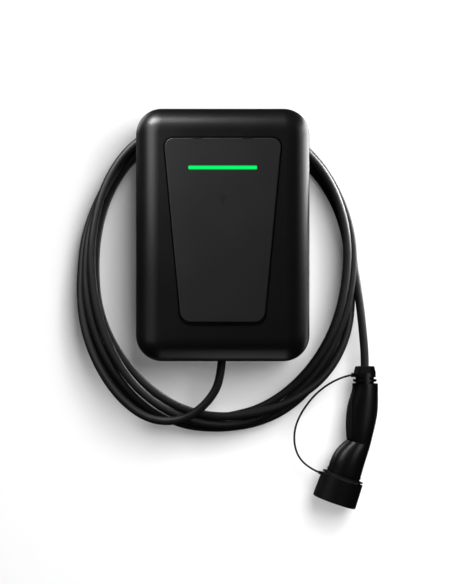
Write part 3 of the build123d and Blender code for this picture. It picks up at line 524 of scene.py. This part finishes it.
def wear_group():
    """Broad, faint patches: slow noise moved to be centred on one, to scale a colour or a roughness."""
    group, given, result = new_group(
        "gloss_patches",
        [("Size", "NodeSocketFloat", 12.0), ("Strength", "NodeSocketFloat", 0.2)],
        [("Factor", "NodeSocketFloat")],
    )
    place = group.nodes.new("ShaderNodeTexCoord").outputs["Object"]
    noise = group.nodes.new("ShaderNodeTexNoise")
    noise.inputs["Detail"].default_value = 4.0
    group.links.new(place, noise.inputs["Vector"])
    group.links.new(given.outputs["Size"], noise.inputs["Scale"])
    centred = math_node(group, "SUBTRACT", noise.outputs["Fac"], 0.5)
    scaled = math_node(group, "MULTIPLY", centred, given.outputs["Strength"])
    group.links.new(math_node(group, "ADD", scaled, 1.0), result.inputs["Factor"])
    return group


GRAIN = grain_group()
PATCHES = wear_group()
print("groups", GRAIN.name, PATCHES.name)

# %% [markdown]
# ## Finishes
#
# One function makes a moulded finish: the patches scale the colour and the roughness a little, the grain
# feeds a Bump node, and the shader itself stays in the material. Modelling the grain would take millions of
# faces, and at this size only its effect on the light can be seen.

# %% Moulded finish
# Patches per metre
PATCH_SIZE = 14.0
# Darkest and lightest shade, as a share of the colour
DARK_SHADE = 0.7
LIGHT_SHADE = 1.3


def group_node(tree, group, **values):
    """A copy of a shared group in a material, with its own values."""
    node = tree.nodes.new("ShaderNodeGroup")
    node.node_tree = group
    for label, value in values.items():
        node.inputs[label].default_value = value
    return node


def moulded_finish(
    name, colour, roughness, scale, depth, pits=0.4, strength=0.25, metallic=0.0, specular=0.5
):
    """Principled shader with grain in the normal and the colour, and patches in colour and roughness."""
    material = bpy.data.materials.new(name)
    material.use_nodes = True
    tree = material.node_tree
    shader = tree.nodes["Principled BSDF"]
    shader.inputs["Metallic"].default_value = metallic
    shader.inputs["Specular IOR Level"].default_value = specular
    patches = group_node(tree, PATCHES, Size=PATCH_SIZE, Strength=strength)
    grain = group_node(tree, GRAIN, Scale=scale, Pits=pits)
    tint = tree.nodes.new("ShaderNodeMix")
    tint.data_type = "RGBA"
    tint.inputs["A"].default_value = (*(DARK_SHADE * np.array(colour)), 1)
    tint.inputs["B"].default_value = (*(LIGHT_SHADE * np.array(colour)), 1)
    shade = math_node(tree, "MULTIPLY", grain.outputs["Speckle"], patches.outputs["Factor"])
    tree.links.new(shade, tint.inputs["Factor"])
    tree.links.new(tint.outputs["Result"], shader.inputs["Base Color"])
    rough = math_node(tree, "MULTIPLY", patches.outputs["Factor"], roughness)
    tree.links.new(rough, shader.inputs["Roughness"])
    bump = tree.nodes.new("ShaderNodeBump")
    bump.inputs["Strength"].default_value = 1.0
    bump.inputs["Distance"].default_value = depth
    tree.links.new(grain.outputs["Height"], bump.inputs["Height"])
    tree.links.new(bump.outputs["Normal"], shader.inputs["Normal"])
    return material


print("patches about", round(100 / PATCH_SIZE), "cm wide")

# %% [markdown]
# ## Values for each surface
#
# Each real surface gets its own numbers: the cover is satin, the panel is coarser and flatter, the soft
# grips are dull, metal is metal. Tables keep them side by side, where they are easy to compare.

# %% Finishes
# Colour, roughness, scale of the grain, depth of the grain in metres
plastics = {
    "cover_plastic": ((0.0012, 0.0012, 0.0013), 0.36, 1400, 0.00004),
    "panel_plastic": ((0.0032, 0.0032, 0.0034), 0.5, 900, 0.00009),
    "black_rubber": ((0.003, 0.003, 0.003), 0.6, 1500, 0.00005),
    "cable_sheath": ((0.003, 0.003, 0.0032), 0.52, 1100, 0.00004),
    "circuit_board": ((0.02, 0.14, 0.055), 0.4, 300, 0.00004),
    "lamp_body": ((0.8, 0.8, 0.76), 0.3, 900, 0.00002),
    "grey_plastic": ((0.28, 0.29, 0.3), 0.45, 1200, 0.00005),
    "component_plastic": ((0.02, 0.02, 0.022), 0.3, 1400, 0.00003),
    "lead_insulation": ((0.05, 0.05, 0.06), 0.35, 900, 0.00003),
    "connector_plastic": ((0.0014, 0.0014, 0.0015), 0.34, 1300, 0.00005),
    "insert_plastic": ((0.025, 0.025, 0.027), 0.4, 1300, 0.00004),
    "cap_plastic": ((0.0014, 0.0014, 0.0015), 0.37, 1300, 0.00006),
}
metals = {
    "bracket_steel": ((0.5, 0.51, 0.52), 0.38, 260, 0.00002),
    "screw_steel": ((0.52, 0.52, 0.54), 0.3, 500, 0.00002),
    "copper": ((0.7, 0.36, 0.2), 0.3, 700, 0.00001),
    "capacitor_can": ((0.6, 0.61, 0.63), 0.25, 600, 0.00001),
    "contact_metal": ((0.72, 0.7, 0.66), 0.2, 600, 0.00001),
}
finishes = {name: moulded_finish(name, *values) for name, values in plastics.items()}
finishes.update({name: moulded_finish(name, *values, metallic=1.0) for name, values in metals.items()})
finishes["soft_grip"] = moulded_finish("soft_grip", (0.003, 0.003, 0.0032), 0.62, 1000, 0.00012, pits=0.8)
sign_print = moulded_finish("sign_print", (0.0015, 0.0015, 0.0016), 0.5, 900, 0.00002, specular=0.3)
print(len(finishes) + 1, "finishes")

# %% [markdown]
# ## The lit bar
#
# The bar glows evenly along its length, but its edges sit in the panel and look darker. A lamp behind clear
# plastic would do the same slowly and with noise, so the glow is an emission colour that falls off with the
# distance from the bar's middle line.

# %% Lit bar
BAR_Z = 98.4 * MM
BAR_HALF_HEIGHT = 3.4 * MM
GLOW = (0.0, 1.0, 0.15, 1.0)
GLOW_EDGE = (0.003, 0.22, 0.034, 1.0)
# Where the glow starts to fade and where it has faded, as a share of the way from the middle to the edge
FADE_FROM = 0.4
FADE_TO = 0.9
light_bar = bpy.data.materials.new("light_bar")
light_bar.use_nodes = True
bar_tree = light_bar.node_tree
bar_shader = bar_tree.nodes["Principled BSDF"]
bar_shader.inputs["Base Color"].default_value = (0.0, 0.02, 0.005, 1)
bar_shader.inputs["Roughness"].default_value = 0.35
bar_shader.inputs["Specular IOR Level"].default_value = 0.15
bar_shader.inputs["Emission Strength"].default_value = 1.0
bar_place = bar_tree.nodes.new("ShaderNodeSeparateXYZ")
bar_tree.links.new(bar_tree.nodes.new("ShaderNodeTexCoord").outputs["Object"], bar_place.inputs[0])
above_middle = math_node(bar_tree, "SUBTRACT", bar_place.outputs["Z"], BAR_Z)
off_middle = math_node(bar_tree, "ABSOLUTE", above_middle, 0.0)
bar_ramp = bar_tree.nodes.new("ShaderNodeValToRGB")
bar_ramp.color_ramp.elements[0].position = FADE_FROM
bar_ramp.color_ramp.elements[0].color = GLOW
bar_ramp.color_ramp.elements[1].position = FADE_TO
bar_ramp.color_ramp.elements[1].color = GLOW_EDGE
bar_tree.links.new(math_node(bar_tree, "DIVIDE", off_middle, BAR_HALF_HEIGHT), bar_ramp.inputs["Fac"])
bar_tree.links.new(bar_ramp.outputs["Color"], bar_shader.inputs["Emission Color"])
finishes["light_bar"] = light_bar
print("lit bar at", round(BAR_Z, 4), "m")

# %% [markdown]
# ## Handing out the finishes
#
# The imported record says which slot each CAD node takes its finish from, so a loop can hand them out. The
# new pieces get theirs by name.

# %% Hand out the finishes
for subpart in frame["record"]["subparts"]:
    node = frame["nodes"][subpart["node"]]
    for material_slot in node.material_slots:
        material_slot.material = finishes[subpart["material_slot"]]
charging_cable.data.materials.append(finishes["cable_sheath"])
tether.data.materials.append(finishes["black_rubber"])
reader_sign.data.materials.append(sign_print)
print("finished", len(frame["nodes"]), "nodes")

# %% [markdown]
# ## Wall and floor
#
# The charger hangs on a white wall over a pale floor. Seen from behind, the wall would hide everything,
# so its back lets the view through, and it casts no shadow. Wall and floor are kept out of the reflections
# in the black plastic, which are lit one by one below, and the wall throws no light back onto the box.

# %% Wall and floor
FLOOR_Z = -0.75
STAGE_HALF = 2.4
# A hair behind the box, so that the two never share a plane
WALL_Y = 0.0008
WALL_COLOUR = (0.9, 0.9, 0.9, 1)
FLOOR_COLOUR = (0.8, 0.8, 0.79, 1)


def stage_sheet(name, points, colour):
    """A flat sheet of the stage: coloured from the front, clear from behind and for shadows."""
    sheet = mesh_piece(name, np.array(points, float), [[0, 1, 2, 3]], smooth=False)
    material = bpy.data.materials.new(name)
    material.use_nodes = True
    tree = material.node_tree
    shader = tree.nodes["Principled BSDF"]
    shader.inputs["Base Color"].default_value = colour
    shader.inputs["Roughness"].default_value = 0.9
    shader.inputs["Specular IOR Level"].default_value = 0.1
    clear = tree.nodes.new("ShaderNodeBsdfTransparent")
    mix = tree.nodes.new("ShaderNodeMixShader")
    see_through = math_node(
        tree,
        "MAXIMUM",
        tree.nodes.new("ShaderNodeNewGeometry").outputs["Backfacing"],
        tree.nodes.new("ShaderNodeLightPath").outputs["Is Shadow Ray"],
    )
    tree.links.new(see_through, mix.inputs["Fac"])
    tree.links.new(shader.outputs[0], mix.inputs[1])
    tree.links.new(clear.outputs[0], mix.inputs[2])
    tree.links.new(mix.outputs[0], tree.nodes["Material Output"].inputs["Surface"])
    sheet.data.materials.append(material)
    return sheet


wall = stage_sheet(
    "wall",
    [
        (-STAGE_HALF, WALL_Y, FLOOR_Z),
        (STAGE_HALF, WALL_Y, FLOOR_Z),
        (STAGE_HALF, WALL_Y, STAGE_HALF),
        (-STAGE_HALF, WALL_Y, STAGE_HALF),
    ],
    WALL_COLOUR,
)
wall.visible_glossy = False
wall.visible_diffuse = False
floor = stage_sheet(
    "floor",
    [
        (-STAGE_HALF, -STAGE_HALF, FLOOR_Z),
        (STAGE_HALF, -STAGE_HALF, FLOOR_Z),
        (STAGE_HALF, WALL_Y, FLOOR_Z),
        (-STAGE_HALF, WALL_Y, FLOOR_Z),
    ],
    FLOOR_COLOUR,
)
floor.visible_glossy = False
print("stage", wall.name, floor.name)

# %% [markdown]
# ## Main lights
#
# The shadows on the wall fall to the left and down, so two large soft lights share the work: one in front, a
# little to the right, and one further to the right and higher. Only the box and the cable throw shadows in
# the second, so that the connector and its tether have one soft shadow each. Both lights are kept out of
# the reflections, because the black plastic would mirror them.

# %% Main lights
def piece_group(name, pieces):
    """A collection that a light can be linked to."""
    group = bpy.data.collections.new(name)
    for piece in pieces:
        group.objects.link(piece)
    return group


def area_light(name, place, aim, width, height, power, lit=None):
    """A rectangular studio light that faces a point, for all pieces or for one group of them."""
    data = bpy.data.lights.new(name, "AREA")
    data.shape = "RECTANGLE"
    data.size, data.size_y = width, height
    data.energy = power
    light = bpy.data.objects.new(name, data)
    light.location = place
    light.rotation_euler = (Vector(aim) - Vector(place)).to_track_quat("-Z", "Y").to_euler()
    bpy.context.scene.collection.objects.link(light)
    light.light_linking.receiver_collection = lit
    return light


WALL_AIM = (0, 0, -0.05)
connector_pieces = [frame["nodes"][name] for name in CONNECTOR_NODES]
box_pieces = [node for node in frame["nodes"].values() if node not in connector_pieces]
key_front = area_light("key_front", (0.9, -2.6, 1.1), WALL_AIM, 1.7, 2.2, 92)
key_side = area_light("key_side", (2.5, -2.6, 2.0), WALL_AIM, 2.2, 3.0, 72)
key_side.light_linking.blocker_collection = piece_group("side_blockers", box_pieces + [charging_cable])
for light in (key_front, key_side):
    light.visible_glossy = False
print("box", len(box_pieces), "pieces, connector", len(connector_pieces), "pieces")

# %% [markdown]
# ## Cards
#
# Black plastic shows hardly any of the main lights: what the eye reads on it are reflections. A bright room
# would fill it with them, but none could be moved alone, so each is placed on its own, as a photographer
# places white cards. Cards high up on the left draw the glow along the top edge, one behind on the right
# draws the bright rim, and a near one on the left lets the front fade from left to right. The last cards
# stand low and behind, and show mostly when the box is seen from the side or from the back. The steel
# bracket has its own there, because those for plastic would turn it white. Light linking keeps each card to
# the pieces it is for.

# %% Cards
BOX_AIM = (0, -0.1, 0)
bracket = frame["nodes"]["wall_bracket"]
shell_pieces = [piece for piece in box_pieces if piece != bracket]
cord_pieces = [charging_cable, tether]
box_group = piece_group("box_group", box_pieces + [reader_sign])
connector_group = piece_group("connector_group", connector_pieces)
shell_group = piece_group("shell_group", shell_pieces)
bracket_group = piece_group("bracket_group", [bracket])
hard_group = piece_group("hard_group", shell_pieces + connector_pieces)
cable_group = piece_group("cable_group", cord_pieces)
charger_group = piece_group("charger_group", box_pieces + connector_pieces + cord_pieces + [reader_sign])
# Each card: name, place, aim, width and height in metres, power in watts, the pieces it lights
cards = [
    ("right_rim", (0.85, 0.4, 0.32), (0.12, -0.1, 0.1), 1.0, 0.5, 10.5, box_group),
    ("right_side", (1.1, -0.2, 0.35), (0.1, -0.12, 0.1), 0.5, 0.5, 1.3, box_group),
    ("top_left", (-0.62, -0.5, 0.95), (-0.12, -0.11, 0.18), 0.35, 0.35, 17, charger_group),
    ("top_glow", (-0.32, -0.6, 0.95), (-0.2, -0.11, 0.18), 0.3, 0.25, 5, charger_group),
    ("left_front", (-0.36, -0.46, 0.2), (-0.08, -0.13, 0.03), 0.3, 0.3, 1.05, charger_group),
    ("low_edge", (0.05, -0.05, -1.0), (0.05, -0.1, -0.17), 0.35, 0.9, 0.55, box_group),
    ("cable_rim", (0.55, 0.15, 0.25), (0.2, -0.03, 0.0), 0.6, 0.5, 20, cable_group),
    ("cable_front", (0.55, -0.9, 0.15), (0.0, -0.04, -0.1), 0.6, 0.6, 2.6, cable_group),
    ("connector_glow", (0.5, -0.42, -0.13), (0.21, -0.05, -0.25), 0.24, 0.3, 0.4, connector_group),
    ("low_left", (-1.4, -1.5, -0.5), BOX_AIM, 1.6, 0.5, 2.2, box_group),
    ("behind_right", (1.3, 1.2, -0.4), BOX_AIM, 1.0, 1.0, 8, shell_group),
    ("behind_left", (-1.2, 1.2, 0.9), BOX_AIM, 1.0, 1.0, 6, hard_group),
    ("bracket_glow", (0.9, 1.4, -0.2), (0, 0, 0), 2.0, 2.0, 5, bracket_group),
]
for card in cards:
    area_light(*card)

# %% [markdown]
# ## Surroundings
#
# The room round the stage looks nearly white, but light from a bright room would lift every shadow and turn
# the black plastic grey. So the world is bright for camera rays only, gives a little fill light, and hardly
# anything to reflections.

# %% Surroundings
ROOM_COLOUR = (0.95, 0.97, 1.0, 1)
ROOM_FILL = 0.06
ROOM_SEEN = 0.9
# Added to the strength in reflections
GLOSSY_CHANGE = -0.05

world = bpy.data.worlds.new("world")
world.use_nodes = True
room = world.node_tree
rays = room.nodes.new("ShaderNodeLightPath")
room_strength = room.nodes.new("ShaderNodeMix")
room_strength.inputs["A"].default_value = ROOM_FILL
room_strength.inputs["B"].default_value = ROOM_SEEN
room.links.new(rays.outputs["Is Camera Ray"], room_strength.inputs["Factor"])
glossy_part = math_node(room, "MULTIPLY", rays.outputs["Is Glossy Ray"], GLOSSY_CHANGE)
strength = math_node(room, "ADD", room_strength.outputs["Result"], glossy_part)
background = room.nodes["Background"]
background.inputs["Color"].default_value = ROOM_COLOUR
room.links.new(strength, background.inputs["Strength"])
bpy.context.scene.world = world
bpy.context.scene.view_settings.view_transform = "Standard"
print("world", world.name)

# %% [markdown]
# ## Last update
#
# At the end the view layer is brought up to date. The dressed part has to fill the same box as the
# CAD part.

# %% Last update
bpy.context.view_layer.update()
